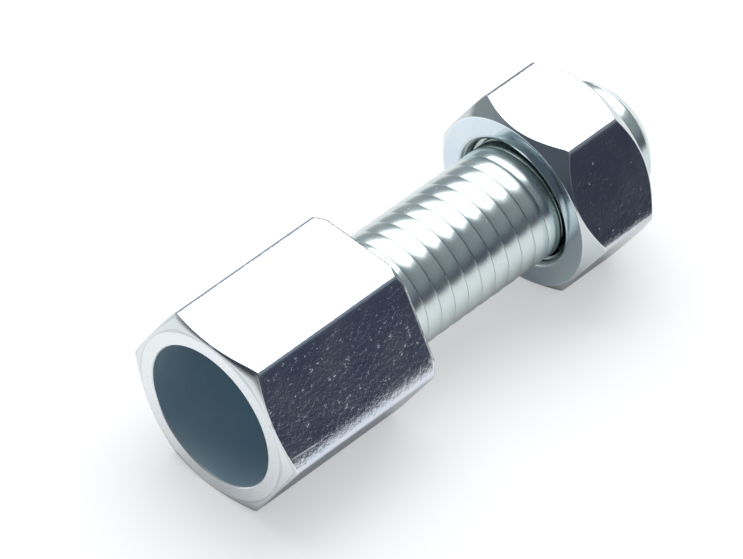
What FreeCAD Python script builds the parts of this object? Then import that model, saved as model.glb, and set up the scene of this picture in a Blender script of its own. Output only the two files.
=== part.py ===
"""A cable adjuster for a brake cable: a hexagon adjuster screw and the lock nut on its thread.

The adjuster screw is one turned piece of hexagon bar. Its head is a deep open socket that takes
the end of the cable's outer casing. Its shank carries a metric coarse thread and is drilled
through, so that the inner wire runs on through it. The lock nut jams the screw where it is set.

Frame, in millimetres: the origin is the centre of the socket's mouth, +X runs along the screw to
its tip, and +Z is up with the part lying on one flat of its head and one of its nut.
Each piece is first built standing on end, along +Z, and then laid down onto +X.
"""

import math
import os

import FreeCAD
import Part

Vector = FreeCAD.Vector

# Driving sizes of the two hexagons, which take the same spanner
across_flats = 12.0
edge_radius = 0.3

# Driving sizes of the adjuster screw
head_length = 12.3
head_face_diameter = 11.5
head_chamfer_angle = 25.0
socket_diameter = 9.7
socket_depth = 9.6
socket_floor_angle = 160.0
socket_edge_break = 0.2
shank_length = 22.3
wire_hole_diameter = 4.0
wire_hole_edge_break = 0.3
head_back_edge_break = 0.38

# Driving sizes of the shank, a plain rod here as wide as the crests of its metric coarse thread
thread_diameter = 7.9
shank_root_in_head = 0.8
tip_chamfer_length = 0.7
tip_chamfer_height = 0.7

# Driving sizes of the lock nut
nut_height = 6.13
nut_face_diameter = 11.74
nut_chamfer_angle = 46.0
nut_bore_clearance = 0.05
nut_countersink_diameter = 9.0
nut_gap_from_head = 13.4

# Sizes that follow from them
thread_radius = thread_diameter / 2
overall_length = head_length + shank_length
nut_bore_radius = thread_radius + nut_bore_clearance
nut_start = head_length + nut_gap_from_head


def hexagon_bar(width, corner_radius, length):
    """A length of hexagon bar with rolled corners, standing on the XY plane with flats facing X."""
    corner = width / 2 / math.cos(math.radians(30))
    points = [
        Vector(corner * math.cos(a), corner * math.sin(a), 0)
        for a in (math.radians(30 + 60 * k) for k in range(6))
    ]
    bar = Part.Face(Part.makePolygon(points + points[:1])).extrude(Vector(0, 0, length))
    long_edges = [e for e in bar.Edges if abs(e.tangentAt(e.FirstParameter).z) > 0.9]
    return bar.makeFillet(corner_radius, long_edges)


def turned(outline):
    """The solid that an outline of (radius, height) points makes when it turns about Z."""
    points = [Vector(r, 0, z) for r, z in outline]
    face = Part.Face(Part.makePolygon(points + points[:1]))
    return face.revolve(Vector(0, 0, 0), Vector(0, 0, 1), 360)


def chamfer_depth(face_diameter, angle):
    """How far down a corner of the hexagon its end chamfer reaches."""
    corner = across_flats / 2 / math.cos(math.radians(30))
    return (corner - face_diameter / 2) * math.tan(math.radians(angle))


def head_outline():
    """Half the section of the head, from its chamfered face to its square back."""
    corner = across_flats / 2 / math.cos(math.radians(30))
    face_radius = head_face_diameter / 2
    return [
        (0, 0),
        (face_radius, 0),
        (corner, chamfer_depth(head_face_diameter, head_chamfer_angle)),
        (corner, head_length - head_back_edge_break),
        (corner - head_back_edge_break, head_length),
        (0, head_length),
    ]


def hollow_outline():
    """Half the section of the hollow: the casing socket and the wire hole that leads on from it."""
    socket_radius = socket_diameter / 2
    hole_radius = wire_hole_diameter / 2
    drill_cone = (socket_radius - hole_radius) * math.tan(math.radians(90 - socket_floor_angle / 2))
    return [
        (0, 0),
        (socket_radius + socket_edge_break, 0),
        (socket_radius, socket_edge_break),
        (socket_radius, socket_depth),
        (hole_radius, socket_depth + drill_cone),
        (hole_radius, overall_length - wire_hole_edge_break),
        (hole_radius + wire_hole_edge_break, overall_length),
        (0, overall_length),
    ]


def shank_outline():
    """Half the section of the shank, rooted a little way inside the head, with its chamfered tip."""
    foot = head_length - shank_root_in_head
    return [
        (0, foot),
        (thread_radius, foot),
        (thread_radius, overall_length - tip_chamfer_length),
        (thread_radius - tip_chamfer_height, overall_length),
        (0, overall_length),
    ]


def laid_down(shape):
    """Turns a piece built along +Z onto +X."""
    shape.rotate(Vector(0, 0, 0), Vector(0, 1, 0), 90)
    return shape


def adjuster_screw():
    """Hexagon head with its casing socket, threaded shank and wire hole, all one piece."""
    head = turned(head_outline()).common(hexagon_bar(across_flats, edge_radius, head_length))
    return laid_down(head.fuse(turned(shank_outline())).cut(turned(hollow_outline())))


def lock_nut():
    """Hexagon nut, chamfered on both faces, with a countersunk bore that runs over the thread."""
    corner = across_flats / 2 / math.cos(math.radians(30))
    face_radius = nut_face_diameter / 2
    depth = chamfer_depth(nut_face_diameter, nut_chamfer_angle)
    sink_radius = nut_countersink_diameter / 2
    sink_depth = sink_radius - nut_bore_radius
    ring = turned(
        [
            (sink_radius, 0),
            (face_radius, 0),
            (corner, depth),
            (corner, nut_height - depth),
            (face_radius, nut_height),
            (sink_radius, nut_height),
            (nut_bore_radius, nut_height - sink_depth),
            (nut_bore_radius, sink_depth),
        ]
    )
    nut = ring.common(hexagon_bar(across_flats, edge_radius, nut_height))
    nut.translate(Vector(0, 0, nut_start))
    return laid_down(nut)


def main():
    os.makedirs("parts", exist_ok=True)
    pieces = {"adjuster_screw": adjuster_screw(), "lock_nut": lock_nut()}
    for name, shape in pieces.items():
        solids = shape.Solids
        assert len(solids) == 1 and solids[0].isValid(), name
        solids[0].exportStep(f"parts/{name}.step")
        box = solids[0].BoundBox
        print(f"{name}: {box.XLength:.2f} x {box.YLength:.2f} x {box.ZLength:.2f} mm,"
              f" {solids[0].Volume:.1f} mm3, {len(solids[0].Faces)} faces")


main()
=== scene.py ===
# %% [markdown]
# # A brake cable adjuster in bright zinc
# The part is a hollow hexagon screw and a lock nut. The outer casing of a brake cable sits in the
# socket of the screw's head and its wire runs on through the shank. This lesson dresses the plain
# construction model: it gives both pieces their real thread, their softened edges and their
# plating, and sets them on a pale table under soft studio light.

import math

import bmesh
import bpy
import numpy as np
from mathutils import Matrix, Vector


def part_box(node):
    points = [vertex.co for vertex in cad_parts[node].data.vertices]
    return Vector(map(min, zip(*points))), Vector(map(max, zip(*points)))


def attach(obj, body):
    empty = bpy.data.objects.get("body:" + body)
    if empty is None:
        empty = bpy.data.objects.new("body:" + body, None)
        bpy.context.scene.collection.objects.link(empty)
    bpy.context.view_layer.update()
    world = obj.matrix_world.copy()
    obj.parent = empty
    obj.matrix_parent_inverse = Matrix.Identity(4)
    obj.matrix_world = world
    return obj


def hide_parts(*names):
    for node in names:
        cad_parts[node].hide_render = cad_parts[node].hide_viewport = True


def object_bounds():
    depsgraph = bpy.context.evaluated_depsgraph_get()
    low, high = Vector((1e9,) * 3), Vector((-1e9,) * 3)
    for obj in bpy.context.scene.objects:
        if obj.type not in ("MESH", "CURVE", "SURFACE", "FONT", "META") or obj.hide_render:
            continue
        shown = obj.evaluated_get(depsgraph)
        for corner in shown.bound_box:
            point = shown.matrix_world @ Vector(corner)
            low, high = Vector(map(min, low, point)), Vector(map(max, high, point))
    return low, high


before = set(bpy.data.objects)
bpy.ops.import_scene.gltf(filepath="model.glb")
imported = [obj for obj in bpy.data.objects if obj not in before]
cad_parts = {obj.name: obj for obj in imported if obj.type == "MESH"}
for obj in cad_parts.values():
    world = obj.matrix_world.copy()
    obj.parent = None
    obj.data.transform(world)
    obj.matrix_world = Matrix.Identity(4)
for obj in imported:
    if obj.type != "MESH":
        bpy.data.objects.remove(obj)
cad_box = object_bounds()
MM = 0.001
screw_box = [[c / MM for c in corner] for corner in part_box("adjuster_screw")]
nut_box = [[c / MM for c in corner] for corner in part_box("lock_nut")]
print("screw box in mm", screw_box)
print("nut box in mm", nut_box)

# %% [markdown]
# ## Where the two pieces begin and end
# All sizes are in millimetres, as on a workshop drawing, and turn into metres only when a mesh is
# made. The overall sizes could be typed in again here, but they are read from the construction
# model's boxes, so the dressed pieces keep its width, its length and the nut's place. The smaller
# sizes, such as the socket's width, are named beside the piece that they belong to.

# %% Overall sizes of the adjuster
ACROSS_FLATS = screw_box[1][2] - screw_box[0][2]
TIP_X = screw_box[1][0]
NUT_FRONT_X = nut_box[0][0]
NUT_BACK_X = nut_box[1][0]
print(f"flats {ACROSS_FLATS:.2f}, overall {TIP_X:.2f}, nut {NUT_FRONT_X:.2f} to {NUT_BACK_X:.2f} mm")

# %% [markdown]
# ## Where a hexagon bar's surface lies
# Bar stock is drawn through a die, so its six long edges are a little round. A six-sided cylinder
# with a Bevel modifier would give such edges, but not a chamfer that runs up and down as it goes
# round them. So for every angle round the axis one distance says where the surface is: on a flat,
# or on the round corner between two flats. Near its corners each flat falls away a little, on the
# head before one corner only, as the photograph shows. The angles lie closer together at the
# corners, which keeps the flats flat and the corners crisp.

# %% The angles round the axis and the reach of the hexagon at each
SECTOR = 60
TOP_FLAT_ANGLE = 90
APOTHEM = ACROSS_FLATS / 2
HALF_SIDE_SHARE = math.tan(math.radians(SECTOR / 2))
CORNER_ROUNDING = 0.32
CORNER_BLEND = 0.08
TANGENT_ANGLE = math.degrees(math.atan((APOTHEM - CORNER_ROUNDING) * HALF_SIDE_SHARE / APOTHEM))
SUPPORT_ANGLE = 0.45
FLAT_STEPS = 27
CORNER_STEPS = 7
HEAD_WEAR = {"width": 1.15, "drop": 0.065, "both_sides": False}
NUT_WEAR = {"width": 0.5, "drop": 0.02, "both_sides": True}


def sector_angles():
    """Angles over one flat and the corner after it, close together where the corner is round."""
    flat_end = TANGENT_ANGLE - 2 * SUPPORT_ANGLE
    flat = list(np.linspace(-flat_end, flat_end, FLAT_STEPS))
    corner = list(np.linspace(TANGENT_ANGLE, SECTOR - TANGENT_ANGLE, CORNER_STEPS))
    return [-TANGENT_ANGLE + SUPPORT_ANGLE] + flat + [TANGENT_ANGLE - SUPPORT_ANGLE] + corner


def worn_plane(turn, width, drop, both_sides):
    """Distance to one flat's plane, which falls away by drop over its last width before a corner."""
    sideways = APOTHEM * math.tan(math.radians(abs(turn)))
    past = max(0.0, sideways - (APOTHEM * HALF_SIDE_SHARE - width)) / width
    worn = drop * past**2 if turn > 0 or both_sides else 0.0
    return APOTHEM / math.cos(math.radians(turn)) - worn


def hexagon_reach(degrees, wear):
    """Distance from the axis to the surface, for an angle measured from a flat's middle.

    The planes of this flat and the nearest one are blended, so that each corner comes out round.
    """
    turn = (degrees + SECTOR / 2) % SECTOR - SECTOR / 2
    neighbour = turn - SECTOR if turn > 0 else turn + SECTOR
    planes = [worn_plane(angle, **wear) for angle in (turn, neighbour)]
    return -CORNER_BLEND * math.log(sum(math.exp(-plane / CORNER_BLEND) for plane in planes))


all_round = [(SECTOR * k + angle) % 360 for k in range(360 // SECTOR) for angle in sector_angles()]
from_flat = sorted(set(round(angle, 6) for angle in all_round))
round_axis = np.radians(np.array(from_flat) + TOP_FLAT_ANGLE)
head_reach = np.array([hexagon_reach(degrees, HEAD_WEAR) for degrees in from_flat])
nut_reach = np.array([hexagon_reach(degrees, NUT_WEAR) for degrees in from_flat])
print(len(from_flat), "angles, reach", head_reach.min(), "to", head_reach.max())

# %% [markdown]
# ## A section with softened corners
# A turned part is a section carried round the axis, which a Screw modifier could do if the section
# were the same all the way round. Here it changes with the angle, because the hexagon's reach
# does, so the rings are placed one by one and each place in the section may be an array. Every
# corner becomes a short arc with a supporting ring on both sides: the arc catches light as a
# plated edge does, and the supports keep the faces beside it flat. The rings of the arcs carry a
# mark, which the finishes read as a rubbed edge: a little smoother from wear, and paler, partly
# from wear and partly as a painted highlight.

# %% Turn a section into softened rings
ARC_STEPS = (0.0, 0.2, 0.4, 0.6, 0.8, 1.0)
SUPPORT_GAP = 0.02


def softened_rings(corners):
    """Rings of (x, radius, edge mark, finish) along a section of (x, radius, rounding, finish)."""
    spots = [np.stack([x + 0 * round_axis, r + 0 * round_axis]) for x, r, _, _ in corners]
    rings = []
    for i, (_, _, rounding, finish) in enumerate(corners):
        here = spots[i]
        if np.all(rounding == 0):
            rings.append((here[0], here[1], 0.0, finish))
            continue
        back = spots[i - 1] - here
        ahead = spots[i + 1] - here
        back = back / np.linalg.norm(back, axis=0)
        ahead = ahead / np.linalg.norm(ahead, axis=0)
        arc = [here + back * (rounding + SUPPORT_GAP)]
        for t in ARC_STEPS:
            arc.append(here + back * rounding * (1 - t) ** 2 + ahead * rounding * t**2)
        arc.append(here + ahead * (rounding + SUPPORT_GAP))
        marks = [0.0] + [1.0] * len(ARC_STEPS) + [0.0]
        half = len(arc) // 2
        finishes = [corners[i - 1][3]] * half + [finish] * half
        rings += [(p[0], p[1], m, f) for p, m, f in zip(arc, marks, finishes)]
    return rings


print(len(ARC_STEPS) + 2, "rings to a softened corner,", len(round_axis), "points to a ring")

# %% [markdown]
# ## From rings to a skin
# Neighbouring rings are joined by quads. The thread's sheet has other points than the rings, so
# between the two a flat ring stays open, at the shoulder and on the end faces. It could be bridged
# by hand, but a triangle fill closes it whatever the number of points on either side.

# %% Helpers that build a skin
PLANE_TOLERANCE = 1e-7


def skin_from(section):
    """A mesh in the making, with a section's softened rings carried round the axis."""
    bm = bmesh.new()
    edge_layer = bm.verts.layers.float.new("edge_mark")
    rings = softened_rings(section)
    grid = []
    for x, radius, mark, _ in rings:
        row = []
        for k, angle in enumerate(round_axis):
            spot = (x[k] * MM, radius[k] * math.cos(angle) * MM, radius[k] * math.sin(angle) * MM)
            vert = bm.verts.new(spot)
            vert[edge_layer] = mark
            row.append(vert)
        grid.append(row)
    count = len(round_axis)
    for (a, b), (_, _, _, finish) in zip(zip(grid, grid[1:]), rings):
        for k in range(count):
            face = bm.faces.new((a[k], b[k], b[(k + 1) % count], a[(k + 1) % count]))
            face.material_index = finish
            face.smooth = True
    return bm


def add_sheet(bm, sheet, finish):
    """Adds a thread sheet to a piece's skin."""
    first_new = len(bm.faces)
    bm.from_mesh(sheet)
    bm.faces.ensure_lookup_table()
    for face in bm.faces[first_new:]:
        face.material_index = finish
        face.smooth = True
    print(len(bm.faces) - first_new, "faces of thread added")


def fill_flat_ring(bm, x, finish):
    """Closes the flat ring between the two open edges that lie in the plane at x."""

    def in_plane(edge):
        return all(abs(vert.co.x - x * MM) < PLANE_TOLERANCE for vert in edge.verts)

    rim = [edge for edge in bm.edges if len(edge.link_faces) == 1 and in_plane(edge)]
    made = bmesh.ops.triangle_fill(bm, edges=rim, use_beauty=True, use_dissolve=False)
    faces = [part for part in made["geom"] if isinstance(part, bmesh.types.BMFace)]
    for face in faces:
        face.material_index = finish
        face.smooth = True
    print(f"ring at {x:.2f} mm closed with {len(faces)} faces from {len(rim)} edges")


# %% [markdown]
# ## Node tree helpers
# The thread and every finish are made of nodes. Written out one node at a time, a tree hides its
# idea among its links, so small helpers place a node and fill its inputs with numbers or links,
# and each of the kinds that come back often has a short name of its own.

# %% Helpers that place nodes
def place(tree, kind, inputs=(), **settings):
    """Adds a node, sets its options and fills its inputs by name or index."""
    node = tree.nodes.new(kind)
    for key, value in settings.items():
        setattr(node, key, value)
    for key, value in dict(inputs).items():
        if isinstance(value, bpy.types.NodeSocket):
            tree.links.new(value, node.inputs[key])
        else:
            node.inputs[key].default_value = value
    return node


def work_out(tree, operation, *values):
    """A Math node's result."""
    return place(tree, "ShaderNodeMath", enumerate(values), operation=operation).outputs[0]


def with_vectors(tree, operation, *values):
    """A Vector Math node's outputs."""
    return place(tree, "ShaderNodeVectorMath", enumerate(values), operation=operation).outputs


def scaled(tree, vector, factor):
    """A vector times a number."""
    inputs = {0: vector, "Scale": factor}
    return place(tree, "ShaderNodeVectorMath", inputs, operation="SCALE").outputs[0]


def ramp(tree, value, low, high, to_low=0.0, to_high=1.0, kind="LINEAR"):
    """A value carried from the range low to high over to the range to_low to to_high."""
    inputs = {"Value": value, "From Min": low, "From Max": high, "To Min": to_low, "To Max": to_high}
    return place(tree, "ShaderNodeMapRange", inputs, interpolation_type=kind).outputs[0]


def mixed(tree, share, first, second):
    """A blend of two colours."""
    inputs = {0: share, 6: first, 7: second}
    return place(tree, "ShaderNodeMix", inputs, data_type="RGBA").outputs[2]


def noise(tree, vector, scale, detail, roughness, distortion=0.0):
    """A Noise Texture's outputs."""
    inputs = {"Scale": scale, "Detail": detail, "Roughness": roughness, "Distortion": distortion}
    return place(tree, "ShaderNodeTexNoise", {"Vector": vector, **inputs}).outputs


# %% [markdown]
# ## Groups and fresh trees
# An effect that several materials share is a group with named sockets, so that its numbers can
# differ from one material to the next while its rule stays the same. Materials and the world start
# from an empty tree, which shows everything that they are made of.

# %% Helpers for groups and fresh trees
def add_sockets(tree, inputs, outputs):
    """Gives a node group its named inputs with defaults, and its named outputs."""
    for name, kind, value in inputs:
        socket = tree.interface.new_socket(name=name, in_out="INPUT", socket_type=kind)
        if value is not None:
            socket.default_value = value
    for name, kind in outputs:
        tree.interface.new_socket(name=name, in_out="OUTPUT", socket_type=kind)


def shader_group(name, numbers, outputs, more_inputs=()):
    """An empty shader group that takes a place on the piece, and that place in millimetres."""
    tree = bpy.data.node_groups.new(name, "ShaderNodeTree")
    inputs = [("Vector", "NodeSocketVector", None), *more_inputs]
    inputs += [(key, "NodeSocketFloat", value) for key, value in numbers.items()]
    add_sockets(tree, inputs, outputs)
    given = tree.nodes.new("NodeGroupInput").outputs
    return tree, given, scaled(tree, given["Vector"], 1 / MM)


def fresh_tree(owner):
    """The emptied node tree of a material or a world."""
    owner.use_nodes = True
    owner.node_tree.nodes.clear()
    return owner.node_tree


# %% [markdown]
# ## The thread
# A thread is one groove that follows a helix. A bump texture could fake it, but its outline would
# stay straight, and a Screw modifier would leave both ends ragged. So Geometry Nodes make it from
# a rule. A flat grid is wound round the axis: one way along it is the angle, over all turns, and
# the other way is the place across one pitch, with more points near the groove. Points past either
# end are pulled back onto the end plane, and the seam between one turn and the next is merged, so
# the result is one clean sheet.
#
# The photograph shows broad ridges that shine almost like a plain cylinder, with a narrow groove
# between them. So the ridge has a low crown that leans towards the tip. Limits at both ends make
# the run-out at the screw's shoulder, the chamfer at its tip and the countersinks of the nut.

# %% Sizes of the thread, and the radius across one pitch
THREAD_SIZES = {
    "Pitch": 1.15, "Crest Radius": 3.95, "Root Radius": 3.6, "Start": 0.0, "End": 10.0,
    "Start Flare": 0.0, "End Flare": 0.0, "End Limit": 99.0, "Phase": 0.0,
    "Crest Share": 0.92, "Root Share": 0.985, "Crown": 0.1, "Lean": 0.4, "Gather": 0.75,
}
THREAD_COUNTS = {"Turns": 8, "Steps A Turn": 96, "Steps Across": 24}
WHOLE_TURNS_ADDED = 64.0
MERGE_DISTANCE = 2e-7
print(len(THREAD_SIZES) + len(THREAD_COUNTS), "named sizes and counts for the thread")


def ridge_radius(tree, given, place_in_pitch):
    """The radius across one pitch: a crown that leans to one side, and a flank on either side."""
    past_middle = work_out(tree, "MULTIPLY_ADD", place_in_pitch, 2.0, -1.0)
    from_crest = work_out(tree, "ABSOLUTE", past_middle)
    past_crown = work_out(tree, "SUBTRACT", past_middle, given["Lean"])
    crown = work_out(tree, "DIVIDE", past_crown, work_out(tree, "ADD", given["Lean"], 1.0))
    crown_drop = work_out(tree, "MULTIPLY", work_out(tree, "MULTIPLY", crown, crown), given["Crown"])
    shares = (given["Crest Share"], given["Root Share"])
    radii = (given["Crest Radius"], given["Root Radius"])
    straight = ramp(tree, from_crest, *shares, *radii)
    curved = ramp(tree, from_crest, *shares, *radii, kind="SMOOTHSTEP")
    ridge = work_out(tree, "MULTIPLY_ADD", work_out(tree, "SUBTRACT", curved, straight), 0.5, straight)
    return work_out(tree, "SUBTRACT", ridge, crown_drop)


def limited_radius(tree, given, radius, x):
    """Holds the radius outside the flares at both ends and inside the limit at the far end."""
    past_start = work_out(tree, "SUBTRACT", x, given["Start"])
    to_end = work_out(tree, "SUBTRACT", given["End"], x)
    start_flare = work_out(tree, "SUBTRACT", given["Start Flare"], past_start)
    end_flare = work_out(tree, "SUBTRACT", given["End Flare"], to_end)
    end_limit = work_out(tree, "ADD", given["End Limit"], to_end)
    flared = work_out(tree, "MAXIMUM", radius, work_out(tree, "MAXIMUM", start_flare, end_flare))
    return work_out(tree, "MINIMUM", flared, end_limit)


# %% The tree that winds a thread
def thread_tree():
    """The tree that winds a grid into a thread, with a named input for each size."""
    tree = bpy.data.node_groups.new("wound_thread", "GeometryNodeTree")
    inputs = [(name, "NodeSocketFloat", value) for name, value in THREAD_SIZES.items()]
    inputs += [(name, "NodeSocketInt", value) for name, value in THREAD_COUNTS.items()]
    inputs += [("Finish", "NodeSocketMaterial", None)]
    add_sockets(tree, inputs, [("Geometry", "NodeSocketGeometry")])
    given = tree.nodes.new("NodeGroupInput").outputs

    def work(operation, *values):
        return work_out(tree, operation, *values)

    along = work("ADD", work("MULTIPLY", given["Turns"], given["Steps A Turn"]), 1.0)
    across = work("ADD", given["Steps Across"], 1.0)
    spread = {"Size X": 1.0, "Size Y": 1.0, "Vertices X": along, "Vertices Y": across}
    grid = place(tree, "GeometryNodeMeshGrid", spread)
    position = place(tree, "GeometryNodeInputPosition").outputs[0]
    flat = place(tree, "ShaderNodeSeparateXYZ", {0: position}).outputs
    turns_done = work("MULTIPLY", work("ADD", flat["X"], 0.5), given["Turns"])
    even = work("ADD", flat["Y"], 0.5)
    wave = work("SINE", work("MULTIPLY", even, math.tau))
    gathered = work("MULTIPLY", work("DIVIDE", wave, math.tau), given["Gather"])
    part_of_pitch = work("SUBTRACT", even, gathered)
    first_turn = work("SUBTRACT", work("ADD", turns_done, part_of_pitch), 1.0)
    drawn_out = work("MULTIPLY_ADD", first_turn, given["Pitch"], given["Start"])
    x = work("MAXIMUM", work("MINIMUM", drawn_out, given["End"]), given["Start"])
    travelled = work("DIVIDE", work("SUBTRACT", x, given["Start"]), given["Pitch"])
    behind = work("SUBTRACT", travelled, turns_done)
    place_in_pitch = work("FRACT", work("ADD", behind, WHOLE_TURNS_ADDED))
    radius = limited_radius(tree, given, ridge_radius(tree, given, place_in_pitch), x)
    angle = work("MULTIPLY", work("ADD", turns_done, given["Phase"]), math.tau)
    y = work("MULTIPLY", radius, work("COSINE", angle))
    z = work("MULTIPLY", radius, work("SINE", angle))
    wound = place(tree, "ShaderNodeCombineXYZ", {0: x, 1: y, 2: z}).outputs[0]
    finish_sheet(tree, grid.outputs["Mesh"], scaled(tree, wound, MM), given["Finish"])
    return tree


def finish_sheet(tree, grid, metres, finish):
    """Moves the grid's points to their wound places, merges the seam and sets the finish."""
    sheet = place(tree, "GeometryNodeSetPosition", {"Geometry": grid, "Position": metres})
    seam = {"Geometry": sheet.outputs[0], "Distance": MERGE_DISTANCE}
    merged = place(tree, "GeometryNodeMergeByDistance", seam)
    smooth = place(tree, "GeometryNodeSetShadeSmooth", {"Geometry": merged.outputs[0]})
    real = place(tree, "GeometryNodeRealizeInstances", {"Geometry": smooth.outputs[0]})
    dressed = {"Geometry": real.outputs[0], "Material": finish}
    finished = place(tree, "GeometryNodeSetMaterial", dressed)
    place(tree, "NodeGroupOutput", {"Geometry": finished.outputs[0]})


WOUND_THREAD = thread_tree()
print("thread tree with", len(WOUND_THREAD.nodes), "nodes")

# %% [markdown]
# ## From the tree to a plain mesh
# A modifier on a finished object would work in a render, but the pieces are made as plain
# meshes. So an empty carrier holds the tree just long enough to read off what it makes. The tree
# winds a few more turns than fit the length, because the points past an end are pulled back
# onto it.

# %% Read a thread sheet off the tree
SPARE_TURNS = 3


def turns_over(length, pitch):
    """How many turns the tree has to wind for a thread of this length."""
    return int(length / pitch) + SPARE_TURNS


def wound_sheet(name, finish, **sizes):
    """A thread sheet as a plain mesh, with the tree's inputs set by their identifiers."""
    carrier = bpy.data.objects.new(name, bpy.data.meshes.new(name))
    bpy.context.scene.collection.objects.link(carrier)
    modifier = carrier.modifiers.new(name, "NODES")
    modifier.node_group = WOUND_THREAD
    wanted = {"Finish": finish, **{key.replace("_", " "): value for key, value in sizes.items()}}
    for item in WOUND_THREAD.interface.items_tree:
        if item.in_out == "INPUT" and item.name in wanted:
            modifier[item.identifier] = wanted[item.name]
    bpy.context.view_layer.update()
    evaluated = carrier.evaluated_get(bpy.context.evaluated_depsgraph_get())
    sheet = bpy.data.meshes.new_from_object(evaluated)
    bpy.data.objects.remove(carrier)
    print(name, len(sheet.vertices), "points", len(sheet.polygons), "faces")
    return sheet


# %% [markdown]
# ## Zinc plating: specks and smears
# Bright zinc is a thin mirror over whatever was under it. On the drawn flats the steel's small
# marks show through as specks that catch the light, over a faint crinkle. A speckled picture would
# show its pixels up close, so the specks are the middles of Voronoi cells: each cell draws its
# own size, the cover says how many are large enough to show, and noise pushes them out of round.

# %% The group of specks
LARGEST_SPECK = 0.55
SPECK_EDGE = (-0.02, 0.12)
HALF_GREY = (0.5, 0.5, 0.5)
PUSH = (0.5, 0.5, 0.5)
PATCH_RANGE = (0.35, 0.62)
PATCH_STRENGTH = (0.85, 1.25)


def speck_group():
    """Small specks and faint smears of drawn bar under thin plating."""
    numbers = {"Grain": 1.8, "Cover": 0.5, "Crinkle": 0.5}
    outputs = [("Height", "NodeSocketFloat"), ("Mask", "NodeSocketFloat")]
    tree, given, in_mm = shader_group("plating_specks", numbers, outputs)
    push = noise(tree, in_mm, scale=3.5, detail=2.0, roughness=0.6)["Color"]
    centred = with_vectors(tree, "SUBTRACT", push, HALF_GREY)[0]
    pushed = with_vectors(tree, "MULTIPLY_ADD", centred, PUSH, in_mm)[0]
    voronoi = {"Vector": pushed, "Scale": given["Grain"], "Randomness": 1.0}
    cells = place(tree, "ShaderNodeTexVoronoi", voronoi).outputs
    luck = place(tree, "ShaderNodeSeparateColor", {0: cells["Color"]}).outputs
    bar = work_out(tree, "SUBTRACT", 1.0, given["Cover"])
    size = work_out(tree, "MULTIPLY", work_out(tree, "SUBTRACT", luck[0], bar), LARGEST_SPECK)
    inside = work_out(tree, "SUBTRACT", size, cells["Distance"])
    mask = work_out(tree, "MULTIPLY", ramp(tree, inside, *SPECK_EDGE, kind="SMOOTHSTEP"), luck[1])
    smear = noise(tree, in_mm, scale=3.3, detail=3.0, roughness=0.62, distortion=0.25)[0]
    patch = noise(tree, in_mm, scale=0.7, detail=2.0, roughness=0.5)[0]
    strength = ramp(tree, patch, *PATCH_RANGE, *PATCH_STRENGTH)
    patchy = work_out(tree, "MULTIPLY", work_out(tree, "SUBTRACT", smear, 0.5), strength)
    height = work_out(tree, "MULTIPLY_ADD", patchy, given["Crinkle"], mask)
    place(tree, "NodeGroupOutput", {"Height": height, "Mask": mask})
    return tree


SPECKS = speck_group()
print(SPECKS.name, "with", len(SPECKS.nodes), "nodes")

# %% [markdown]
# ## A straight scratch
# One fine scratch runs from the head's chamfer along the lower edge of its dark flat. It could be
# a sliver of mesh, but it has no height to speak of, so it is a mask: the distance from a line
# between two points, strongest in the middle and fading out towards both ends.

# %% The group of the scratch
FADING_SHARE = 0.5


def scratch_group():
    """One straight scratch between two points, fading towards its ends."""
    ends = [
        ("From", "NodeSocketVector", (0.0, 0.0, 0.0)),
        ("To", "NodeSocketVector", (1.0, 0.0, 0.0)),
    ]
    outputs = [("Mask", "NodeSocketFloat")]
    tree, given, in_mm = shader_group("straight_scratch", {"Width": 0.05}, outputs, ends)
    line = with_vectors(tree, "SUBTRACT", given["To"], given["From"])[0]
    spot = with_vectors(tree, "SUBTRACT", in_mm, given["From"])[0]
    along = with_vectors(tree, "DOT_PRODUCT", spot, line)["Value"]
    whole = with_vectors(tree, "DOT_PRODUCT", line, line)["Value"]
    share = work_out(tree, "DIVIDE", along, whole)
    off = with_vectors(tree, "DISTANCE", spot, scaled(tree, line, share))["Value"]
    from_middle = work_out(tree, "ABSOLUTE", work_out(tree, "MULTIPLY_ADD", share, 2.0, -1.0))
    taper = ramp(tree, work_out(tree, "SUBTRACT", 1.0, from_middle), 0.0, FADING_SHARE)
    across = ramp(tree, off, 0.0, given["Width"], 1.0, 0.0, kind="SMOOTHSTEP")
    place(tree, "NodeGroupOutput", {"Mask": work_out(tree, "MULTIPLY", taper, across)})
    return tree


SCRATCH = scratch_group()
print(SCRATCH.name, "with", len(SCRATCH.nodes), "nodes")

# %% [markdown]
# ## Turning marks
# A cutting tool leaves fine rings round the axis, which make a turned face satin. A Wave Texture
# would draw them all alike, so they are noise that changes quickly with the radius and along the
# axis and hardly at all round it.

# %% The group of turning marks
DRIFT_ROUND_AXIS = 0.15


def turning_group():
    """Rings that a cutting tool leaves round the axis."""
    outputs = [("Height", "NodeSocketFloat")]
    tree, given, in_mm = shader_group("turning_marks", {"Fineness": 14.0}, outputs)
    axes = place(tree, "ShaderNodeSeparateXYZ", {0: in_mm}).outputs
    y_squared = work_out(tree, "MULTIPLY", axes["Y"], axes["Y"])
    z_squared = work_out(tree, "MULTIPLY", axes["Z"], axes["Z"])
    radius = work_out(tree, "SQRT", work_out(tree, "ADD", y_squared, z_squared))
    along = work_out(tree, "MULTIPLY", axes["X"], given["Fineness"])
    outwards = work_out(tree, "MULTIPLY", radius, given["Fineness"])
    drift = work_out(tree, "MULTIPLY", axes["Z"], DRIFT_ROUND_AXIS)
    rings = place(tree, "ShaderNodeCombineXYZ", {0: along, 1: outwards, 2: drift}).outputs[0]
    grooves = noise(tree, rings, scale=1.0, detail=3.0, roughness=0.55)[0]
    place(tree, "NodeGroupOutput", {"Height": grooves})
    return tree


TURNING = turning_group()
print(TURNING.name, "with", len(TURNING.nodes), "nodes")

# %% [markdown]
# ## The tone of the plating
# Clear passivated zinc is never one colour: it drifts between a bluish and a greenish grey, and a
# fine grain dulls it here and there. One flat colour would look like paint, so a slow noise mixes
# two tones and a fine one adds the dull grain.

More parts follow.
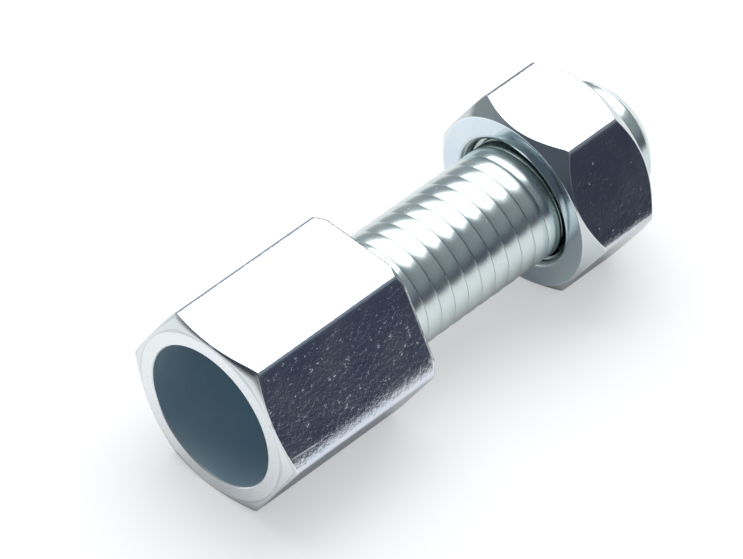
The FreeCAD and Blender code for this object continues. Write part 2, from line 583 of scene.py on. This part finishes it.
# %% The group of tones
DULL_GRAIN = (0.45, 0.49, 0.54, 1)
DRIFT_RANGE = (0.38, 0.62)


def tone_group():
    """The faint drift of bluish and greenish tone in clear passivated zinc."""
    tones = [
        ("Cool", "NodeSocketColor", (0.7, 0.74, 0.78, 1)),
        ("Warm", "NodeSocketColor", (0.76, 0.78, 0.77, 1)),
    ]
    outputs = [("Color", "NodeSocketColor"), ("Cloud", "NodeSocketFloat")]
    tree, given, in_mm = shader_group("plating_tone", {"Dust": 0.25}, outputs, tones)
    cloud = noise(tree, in_mm, scale=0.28, detail=5.0, roughness=0.6)[0]
    drift = ramp(tree, cloud, *DRIFT_RANGE)
    tone = mixed(tree, drift, given["Cool"], given["Warm"])
    fine = noise(tree, in_mm, scale=6.0, detail=3.0, roughness=0.7)[0]
    shade = work_out(tree, "MULTIPLY", work_out(tree, "MULTIPLY", fine, fine), given["Dust"])
    place(tree, "NodeGroupOutput", {"Color": mixed(tree, shade, tone, DULL_GRAIN), "Cloud": drift})
    return tree


TONE = tone_group()
print(TONE.name, "with", len(TONE.nodes), "nodes")

# %% [markdown]
# ## How a zinc finish is put together
# Each finish mixes the four effects in its own amounts. The tone gives the colour and, through its
# clouds, the roughness. The specks and the rings are heights of a few micrometres for two Bump
# nodes in a row. The scratch is a little paler from wear, and so are rubbed edges, whose paler
# tone is partly wear and partly a painted highlight.

# %% The function that makes a zinc finish
MICROMETRE = 1e-6
# Paler tone of worn places: on the rubbed edges partly wear and partly a painted highlight, on the
# scratch wear.
WEAR_AND_HIGHLIGHT_TONE = (0.86, 0.88, 0.9, 1)
SCRATCH_WIDTH = 0.07
SPECK_ROUGHNESS = 0.12
RUBBED_ROUGHNESS = -0.05
SCRAPED_ROUGHNESS = 0.45


def zinc_finish(
    name, cool, warm, roughness, specks, turning, edge_wear_and_highlight,
    metallic=1.0, dust=0.25, cover=0.5, grain=1.8, crinkle=0.5, scratch=None,
):
    """A plated finish. specks and turning are the heights of those marks, in micrometres."""
    material = bpy.data.materials.new(name)
    tree = fresh_tree(material)
    at = place(tree, "ShaderNodeTexCoord").outputs["Object"]

    def effect(group, **values):
        return place(tree, "ShaderNodeGroup", {"Vector": at, **values}, node_tree=group).outputs

    tone = effect(TONE, Cool=(*cool, 1), Warm=(*warm, 1), Dust=dust)
    speck = effect(SPECKS, Grain=grain, Cover=cover, Crinkle=crinkle)
    rings = effect(TURNING)
    # Rubbed edges: a little smoother from wear, and paler, which is partly a painted highlight.
    edge = place(tree, "ShaderNodeAttribute", attribute_name="edge_mark").outputs["Fac"]
    wear_and_highlight = work_out(tree, "MULTIPLY", edge, edge_wear_and_highlight)
    smoothest, roughest = roughness
    cloudy = work_out(tree, "MULTIPLY_ADD", tone["Cloud"], roughest - smoothest, smoothest)
    settled = work_out(tree, "MULTIPLY_ADD", speck["Mask"], SPECK_ROUGHNESS, cloudy)
    if scratch:
        scraped = effect(SCRATCH, From=scratch[0], To=scratch[1], Width=SCRATCH_WIDTH)["Mask"]
        wear_and_highlight = work_out(tree, "MAXIMUM", wear_and_highlight, scraped)
        settled = work_out(tree, "MULTIPLY_ADD", scraped, SCRAPED_ROUGHNESS, settled)
    settled = work_out(tree, "MULTIPLY_ADD", wear_and_highlight, RUBBED_ROUGHNESS, settled)
    speck_bump = {"Height": speck["Height"], "Strength": 1.0, "Distance": specks * MICROMETRE}
    first = place(tree, "ShaderNodeBump", speck_bump).outputs[0]
    ring_bump = {"Height": rings["Height"], "Strength": 1.0, "Distance": turning * MICROMETRE}
    second = place(tree, "ShaderNodeBump", {**ring_bump, "Normal": first}).outputs[0]
    # Worn places turn paler; on the rubbed edges this is partly a painted highlight.
    colour = mixed(tree, wear_and_highlight, tone["Color"], WEAR_AND_HIGHLIGHT_TONE)
    metal = {"Base Color": colour, "Metallic": metallic, "Roughness": settled, "Normal": second}
    shader = place(tree, "ShaderNodeBsdfPrincipled", metal)
    place(tree, "ShaderNodeOutputMaterial", {"Surface": shader.outputs[0]})
    print("finish", name, "with", len(tree.nodes), "nodes")
    return material


# %% [markdown]
# ## The seven zinc finishes
# The flats are near mirrors, crinkled on the head and smoother on the nut. The turned faces are
# pale and satin, the chamfers darker and clearer, the thread bright with faint rings, and the
# socket's wall dull and blue-grey, because little zinc reaches into a deep hole. One finish for
# the whole part would be simpler, but the photograph shows that each way of working the steel
# leaves its own shine.

# %% Finishes of the hexagons' flats
HEAD_SCRATCH = ((0.28, -6.41, 0.9), (2.94, -6.48, 0.77))
ZINC_HEAD_FLATS = zinc_finish(
    "zinc_on_head_flats", (0.61, 0.67, 0.77), (0.68, 0.71, 0.77), roughness=(0.08, 0.13),
    specks=5, turning=0.0, edge_wear_and_highlight=0.3, cover=0.74, grain=3.0, crinkle=2.2, scratch=HEAD_SCRATCH,
)
ZINC_NUT_FLATS = zinc_finish(
    "zinc_on_nut_flats", (0.56, 0.58, 0.62), (0.63, 0.64, 0.67), roughness=(0.07, 0.12),
    specks=5, turning=0.0, edge_wear_and_highlight=0.3, cover=0.52, grain=2.6, crinkle=1.4,
)

# %% Finishes of the turned places
ZINC_TURNED = zinc_finish(
    "zinc_on_turned_faces", (0.87, 0.9, 0.92), (0.92, 0.94, 0.94), roughness=(0.26, 0.36),
    specks=5, turning=2.0, edge_wear_and_highlight=0.3, dust=0.6,
)
ZINC_CHAMFER = zinc_finish(
    "zinc_on_chamfers", (0.55, 0.6, 0.62), (0.62, 0.66, 0.66), roughness=(0.12, 0.18),
    specks=3, turning=1.5, edge_wear_and_highlight=0.4,
)
ZINC_THREAD = zinc_finish(
    "zinc_on_thread", (0.61, 0.69, 0.69), (0.66, 0.735, 0.715), roughness=(0.21, 0.27),
    specks=3, turning=1.2, edge_wear_and_highlight=0.3,
)
ZINC_SOCKET = zinc_finish(
    "dull_zinc_in_socket", (0.6, 0.76, 0.85), (0.65, 0.79, 0.84), roughness=(0.42, 0.5),
    specks=3, turning=3.0, edge_wear_and_highlight=0.4, metallic=0.42,
)
ZINC_NUT_FACE = zinc_finish(
    "zinc_on_nut_faces", (0.71, 0.82, 0.9), (0.76, 0.85, 0.91), roughness=(0.08, 0.14),
    specks=3, turning=1.0, edge_wear_and_highlight=0.4,
)

# %% The order of the finishes on both pieces
FINISHES = [
    ZINC_HEAD_FLATS, ZINC_NUT_FLATS, ZINC_TURNED, ZINC_CHAMFER, ZINC_THREAD, ZINC_SOCKET, ZINC_NUT_FACE,
]
HEAD_FLAT, NUT_FLAT, TURNED, CHAMFER, THREAD, SOCKET, NUT_FACE = range(len(FINISHES))
print([finish.name for finish in FINISHES])

# %% [markdown]
# ## Finishing a piece
# A piece is ready when its skin is closed and its faces point outwards. Points that two parts of
# the skin share are merged first, and the normals are worked out after that, because only a closed
# skin has a clear inside. The piece then takes the place of its plain solid and moves with its body.

# %% The function that finishes a piece
SMALLEST_EDGE = 1e-8


def piece_from(bm, name, body, node):
    """Makes the finished object, prints how many edges are open and puts it under its body's empty."""
    bmesh.ops.remove_doubles(bm, verts=bm.verts, dist=MERGE_DISTANCE)
    bmesh.ops.dissolve_degenerate(bm, dist=SMALLEST_EDGE, edges=bm.edges)
    loose = [edge for edge in bm.edges if not edge.link_faces]
    bmesh.ops.delete(bm, geom=loose, context="EDGES")
    bmesh.ops.recalc_face_normals(bm, faces=bm.faces)
    if bm.calc_volume(signed=True) < 0:
        bmesh.ops.reverse_faces(bm, faces=bm.faces)
    open_edges = sum(1 for edge in bm.edges if len(edge.link_faces) != 2)
    volume = bm.calc_volume(signed=True) / MM**3
    mesh = bpy.data.meshes.new(name)
    bm.to_mesh(mesh)
    bm.free()
    for finish in FINISHES:
        mesh.materials.append(finish)
    piece = bpy.data.objects.new(name, mesh)
    bpy.context.scene.collection.objects.link(piece)
    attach(piece, body)
    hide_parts(node)
    print(name, len(mesh.polygons), "faces,", open_edges, "open edges,", round(volume, 1), "mm3")


# %% [markdown]
# ## The adjuster screw
# The real screw is one piece of steel, turned from hexagon bar. Cutting a cylinder out of a
# hexagon with a Boolean would leave the curved edge of the chamfer uneven, so the skin follows a
# section instead. It starts at the shoulder, goes over the square back, along the flats and the
# chamfer to the mouth, and then inside, down the socket and out through the wire hole to the tip.
# The thread's sheet closes the gap between tip and shoulder, so the screw is one closed skin. The
# chamfer bulges a little, because the photograph shows it brighter towards its middle.

# %% Sizes of the adjuster screw
HEAD_LENGTH = 12.3
HEAD_FACE_RADIUS = 5.75
HEAD_CHAMFER_SLOPE = math.tan(math.radians(25))
CHAMFER_BULGE_SHARE = 0.05
CHAMFER_BEND_SHARE = 0.3
HEAD_BACK_RADIUS = 6.55
LEAST_BACK_BREAK = 0.02
BACK_EDGE_WIDTH = 0.12
SOCKET_RADIUS = 4.85
SOCKET_DEPTH = 9.6
SOCKET_FLOOR_RISE = 0.5
SOCKET_MOUTH_BREAK = 0.07
WIRE_HOLE_RADIUS = 2.0
WIRE_HOLE_BREAK = 0.3
SHOULDER_RADIUS = 4.1
SHOULDER_RING = 0.25
TIP_RADIUS = 3.12
TIP_RING = 0.2
BACK_ROUNDING = 0.08
FLAT_END_ROUNDING = 0.1
CUT_ROUNDING = 0.05
FACE_ROUNDING = 0.04
MOUTH_ROUNDING = 0.02
SOCKET_FLOOR_ROUNDING = 0.1
PITCH = 1.15
THREAD_PHASE = 0.61
CREST_RADIUS = 3.95
THREAD_DEPTH = 0.27
print(f"head {HEAD_LENGTH} mm, socket {SOCKET_DEPTH} mm deep, thread {PITCH} mm a turn")


# %% The screw's section
def screw_section():
    """The screw's section as (x, radius, rounding, finish), from shoulder to tip."""
    corner_height = head_reach - HEAD_FACE_RADIUS
    chamfer_start = corner_height * HEAD_CHAMFER_SLOPE
    chamfer_middle = (head_reach + HEAD_FACE_RADIUS) / 2
    bulged_x = chamfer_start / 2 - CHAMFER_BULGE_SHARE * corner_height
    bend = CHAMFER_BEND_SHARE * corner_height - SUPPORT_GAP
    back_reach = np.minimum(head_reach - LEAST_BACK_BREAK, HEAD_BACK_RADIUS)
    back_edge_x = HEAD_LENGTH - BACK_EDGE_WIDTH - (head_reach - back_reach)
    return [
        (HEAD_LENGTH, SHOULDER_RADIUS + SHOULDER_RING, 0, TURNED),
        (HEAD_LENGTH, back_reach, BACK_ROUNDING, TURNED),
        (back_edge_x, head_reach, FLAT_END_ROUNDING, HEAD_FLAT),
        (chamfer_start, head_reach, CUT_ROUNDING, CHAMFER),
        (bulged_x, chamfer_middle, bend, CHAMFER),
        (0.0, HEAD_FACE_RADIUS, FACE_ROUNDING, TURNED),
        (0.0, SOCKET_RADIUS + SOCKET_MOUTH_BREAK, MOUTH_ROUNDING, TURNED),
        (SOCKET_MOUTH_BREAK, SOCKET_RADIUS, MOUTH_ROUNDING, SOCKET),
        (SOCKET_DEPTH, SOCKET_RADIUS, SOCKET_FLOOR_ROUNDING, SOCKET),
        (SOCKET_DEPTH + SOCKET_FLOOR_RISE, WIRE_HOLE_RADIUS, CUT_ROUNDING, SOCKET),
        (TIP_X - WIRE_HOLE_BREAK, WIRE_HOLE_RADIUS, CUT_ROUNDING, TURNED),
        (TIP_X, WIRE_HOLE_RADIUS + WIRE_HOLE_BREAK, CUT_ROUNDING, TURNED),
        (TIP_X, TIP_RADIUS - TIP_RING, 0, TURNED),
    ]


print(len(screw_section()), "corners in the screw's section")

# %% Build the adjuster screw
screw_sheet = wound_sheet(
    "screw_thread_sheet", ZINC_THREAD,
    Pitch=PITCH, Crest_Radius=CREST_RADIUS, Root_Radius=CREST_RADIUS - THREAD_DEPTH,
    Start=HEAD_LENGTH, End=TIP_X, Start_Flare=SHOULDER_RADIUS, End_Flare=0.0,
    End_Limit=TIP_RADIUS, Phase=THREAD_PHASE, Turns=turns_over(TIP_X - HEAD_LENGTH, PITCH),
)
screw_skin = skin_from(screw_section())
add_sheet(screw_skin, screw_sheet, THREAD)
fill_flat_ring(screw_skin, HEAD_LENGTH, TURNED)
fill_flat_ring(screw_skin, TIP_X, TURNED)
piece_from(screw_skin, "adjuster_screw_plated", "screw", "adjuster_screw")

# %% [markdown]
# ## The lock nut
# The nut is a slice of the same hexagon, chamfered on both faces. Its thread could be left out,
# since little of it shows, but the countersink lets one see the first turns. It follows the
# screw's own rule, started at the same place along the helix, and it is opened just past the
# screw's crests, because the motion model slides the nut instead of turning it. The flares at both
# ends are its countersinks.

# %% Sizes of the lock nut
NUT_FACE_RADIUS = 5.87
NUT_CHAMFER_SLOPE = math.tan(math.radians(46))
NUT_COUNTERSINK_RADIUS = 4.5
NUT_RING = 0.2
NUT_FACE_ROUNDING = 0.06
NUT_THREAD_RADIUS = 4.02
NUT_PHASE = THREAD_PHASE + (NUT_FRONT_X - HEAD_LENGTH) / PITCH
print(f"nut {NUT_BACK_X - NUT_FRONT_X:.2f} mm high, {NUT_PHASE:.2f} turns along the helix")


# %% The nut's section
def nut_section():
    """The nut's section as (x, radius, rounding, finish), over the outside from front to back."""
    chamfer_depth = (nut_reach - NUT_FACE_RADIUS) * NUT_CHAMFER_SLOPE
    return [
        (NUT_FRONT_X, NUT_COUNTERSINK_RADIUS + NUT_RING, 0, NUT_FACE),
        (NUT_FRONT_X, NUT_FACE_RADIUS, NUT_FACE_ROUNDING, CHAMFER),
        (NUT_FRONT_X + chamfer_depth, nut_reach, CUT_ROUNDING, NUT_FLAT),
        (NUT_BACK_X - chamfer_depth, nut_reach, CUT_ROUNDING, CHAMFER),
        (NUT_BACK_X, NUT_FACE_RADIUS, NUT_FACE_ROUNDING, NUT_FACE),
        (NUT_BACK_X, NUT_COUNTERSINK_RADIUS + NUT_RING, 0, NUT_FACE),
    ]


print(len(nut_section()), "corners in the nut's section")

# %% Build the lock nut
nut_sheet = wound_sheet(
    "nut_thread_sheet", ZINC_THREAD,
    Pitch=PITCH, Crest_Radius=NUT_THREAD_RADIUS + THREAD_DEPTH, Root_Radius=NUT_THREAD_RADIUS,
    Start=NUT_FRONT_X, End=NUT_BACK_X, Start_Flare=NUT_COUNTERSINK_RADIUS,
    End_Flare=NUT_COUNTERSINK_RADIUS, Phase=NUT_PHASE, Turns=turns_over(NUT_BACK_X - NUT_FRONT_X, PITCH),
)
nut_skin = skin_from(nut_section())
add_sheet(nut_skin, nut_sheet, THREAD)
fill_flat_ring(nut_skin, NUT_FRONT_X, NUT_FACE)
fill_flat_ring(nut_skin, NUT_BACK_X, NUT_FACE)
piece_from(nut_skin, "lock_nut_plated", "nut", "lock_nut")

# %% [markdown]
# ## The table
# Bright plating shows its surroundings, so the table matters twice: as the background, and as what
# the faces that look down mirror. More lamp light would turn it white, but would burn out the
# part. So it has a matt share, which the lamp lights and which keeps the part's shadow, and a glow
# that only the camera and mirrored or clear rays see, so that it lights nothing else. Far off the
# table fades to grey, a painted falloff of the light round the part. Close under the part, where
# the sky is hidden, the glow dims, a little in the picture and almost wholly in the metal.

# %% Make the table
FLOOR_Z = cad_box[0][2]
HALF_TABLE = 3.0
UNDER_PART = (0.017, 0.0, FLOOR_Z)
FADE_FROM = 0.055
FADE_TO = 0.16
FAR_SHARE = 0.32
MATT_GREY = 0.48
GRAIN_DEPTH = 0.02
GLOW = 0.6
SHADE_DISTANCE = 0.012
SHADE_IN_PICTURE = 0.25
SHADE_IN_METAL = 1.05


def shaded(tree, open_sky, amount):
    """What is left of the glow where part of the sky is hidden."""
    return work_out(tree, "MULTIPLY_ADD", open_sky, amount, 1.0 - amount)


def table_finish():
    """A matt sheet, white round the part and grey far off as a painted falloff of light, in the picture
    and in the metal.
    """
    material = bpy.data.materials.new("pale_table")
    tree = fresh_tree(material)
    at = place(tree, "ShaderNodeTexCoord").outputs["Object"]
    from_part = with_vectors(tree, "DISTANCE", at, UNDER_PART)["Value"]
    # Painted falloff of light: white round the part and darker far off, in the matt colour and in the
    # glow.
    painted_falloff = ramp(tree, from_part, FADE_FROM, FADE_TO, 1.0, FAR_SHARE, kind="SMOOTHSTEP")
    grain = noise(tree, at, scale=40.0, detail=3.0, roughness=0.5)[0]
    grey = work_out(tree, "MULTIPLY_ADD", grain, GRAIN_DEPTH, MATT_GREY)
    matt = place(tree, "ShaderNodeBsdfDiffuse", {"Color": work_out(tree, "MULTIPLY", grey, painted_falloff)})
    ray = place(tree, "ShaderNodeLightPath").outputs
    hidden = {"Distance": SHADE_DISTANCE}
    open_sky = place(tree, "ShaderNodeAmbientOcclusion", hidden, samples=8).outputs["AO"]
    seen_in_picture = shaded(tree, open_sky, SHADE_IN_PICTURE)
    in_picture = work_out(tree, "MULTIPLY", ray["Is Camera Ray"], seen_in_picture)
    mirrored = work_out(tree, "MAXIMUM", ray["Is Glossy Ray"], ray["Is Transmission Ray"])
    in_metal = work_out(tree, "MULTIPLY", mirrored, shaded(tree, open_sky, SHADE_IN_METAL))
    seen = work_out(tree, "MAXIMUM", in_picture, in_metal)
    strength = work_out(tree, "MULTIPLY", work_out(tree, "MULTIPLY", seen, GLOW), painted_falloff)
    glow = place(tree, "ShaderNodeEmission", {"Color": (1, 1, 1, 1), "Strength": strength})
    both = place(tree, "ShaderNodeAddShader", {0: matt.outputs[0], 1: glow.outputs[0]})
    place(tree, "ShaderNodeOutputMaterial", {"Surface": both.outputs[0]})
    return material


corner_signs = ((-1, -1), (1, -1), (1, 1), (-1, 1))
table_mesh = bpy.data.meshes.new("table")
table_corners = [(x * HALF_TABLE, y * HALF_TABLE, FLOOR_Z) for x, y in corner_signs]
table_mesh.from_pydata(table_corners, [], [range(len(table_corners))])
table_mesh.materials.append(table_finish())
table = bpy.data.objects.new("table", table_mesh)
bpy.context.scene.collection.objects.link(table)
print(f"table {2 * HALF_TABLE} m wide at {FLOOR_Z:.4f} m")

# %% [markdown]
# ## The lamp
# One wide lamp overhead is what the white top flats and the white band along the thread mirror.
# Several small lamps would give several bands, so there is only this one, with its place and size
# worked out from where the photograph's white begins and ends.

# %% Hang the lamp
LAMP_DIRECTION = Vector((0.36, 0.32, 0.876)).normalized()
LAMP_DISTANCE = 1.3
LAMP_SIZE = (1.75, 1.4)
LAMP_POWER = 19.5
lamp_light = bpy.data.lights.new("top_lamp", "AREA")
lamp_light.shape = "RECTANGLE"
lamp_light.size, lamp_light.size_y = LAMP_SIZE
lamp_light.energy = LAMP_POWER
top_lamp = bpy.data.objects.new("top_lamp", lamp_light)
bpy.context.scene.collection.objects.link(top_lamp)
top_lamp.location = LAMP_DIRECTION * LAMP_DISTANCE
top_lamp.rotation_euler = (-LAMP_DIRECTION).to_track_quat("-Z", "Y").to_euler()
print("lamp of", LAMP_POWER, "W at", tuple(round(c, 3) for c in top_lamp.location))

# %% [markdown]
# ## The room
# The dark flats mirror the walls of the room. A photograph of a room could stand round the part,
# but a rule is easier to set: navy near the horizon, slate higher up and lighter beyond the tip,
# and palest on the side of the window.

# %% Colour the room
HORIZON_NAVY = (0.056, 0.062, 0.092, 1)
SLATE_BEFORE_SOCKET = (0.12, 0.14, 0.165, 1)
SLATE_BEYOND_TIP = (0.3, 0.34, 0.37, 1)
WINDOW_SIDE = (0.36, 0.4, 0.43, 1)
HORIZON_TO_WALL = (0.06, 0.55)
SOCKET_TO_TIP = (-0.6, 0.5)
WALL_TO_WINDOW = (0.3, 0.95)


def studio_room():
    """A dim room whose colour changes with height, along the part and towards the window."""
    world = bpy.data.worlds.new("studio_room")
    tree = fresh_tree(world)
    direction = place(tree, "ShaderNodeTexCoord").outputs["Generated"]
    axes = place(tree, "ShaderNodeSeparateXYZ", {0: direction}).outputs
    height = ramp(tree, axes["Z"], *HORIZON_TO_WALL, kind="SMOOTHSTEP")
    depth = ramp(tree, axes["X"], *SOCKET_TO_TIP, kind="SMOOTHSTEP")
    side = ramp(tree, axes["Y"], *WALL_TO_WINDOW, kind="SMOOTHSTEP")
    slate = mixed(tree, depth, SLATE_BEFORE_SOCKET, SLATE_BEYOND_TIP)
    walls = mixed(tree, height, HORIZON_NAVY, slate)
    colour = mixed(tree, side, walls, WINDOW_SIDE)
    room = place(tree, "ShaderNodeBackground", {"Color": colour, "Strength": 1.0})
    place(tree, "ShaderNodeOutputWorld", {"Surface": room.outputs[0]})
    return world


bpy.context.scene.world = studio_room()
print("room", bpy.context.scene.world.name)

# %% [markdown]
# ## The camera
# The photograph was taken from far off with a long lens, so edges that are parallel on the part
# stay almost parallel in the picture. A camera turned by eye would never match it, so the camera's
# place and turn were worked out from the corners of both hexagons.

# %% Place the camera
CAMERA_PLACE = Vector((-214.91, -217.84, 322.99)) * MM
CAMERA_LENS = 365.95
SENSOR_WIDTH = 36.0
NEAREST_SEEN = 0.01
to_right = Vector((0.7028, -0.7112, 0.018)).normalized()
ahead = Vector((0.5073, 0.4838, -0.713)).normalized()
upwards = to_right.cross(ahead)
to_right = ahead.cross(upwards)
camera_turn = Matrix((to_right, upwards, -ahead)).transposed()
camera_data = bpy.data.cameras.new("camera")
camera_data.lens = CAMERA_LENS
camera_data.sensor_width = SENSOR_WIDTH
camera_data.clip_start = NEAREST_SEEN
camera = bpy.data.objects.new("camera", camera_data)
bpy.context.scene.collection.objects.link(camera)
camera.matrix_world = Matrix.Translation(CAMERA_PLACE) @ camera_turn.to_4x4()
bpy.context.scene.camera = camera
bpy.context.scene.view_settings.view_transform = "Standard"
print("camera at", tuple(round(c, 3) for c in CAMERA_PLACE), "m, lens", CAMERA_LENS, "mm")
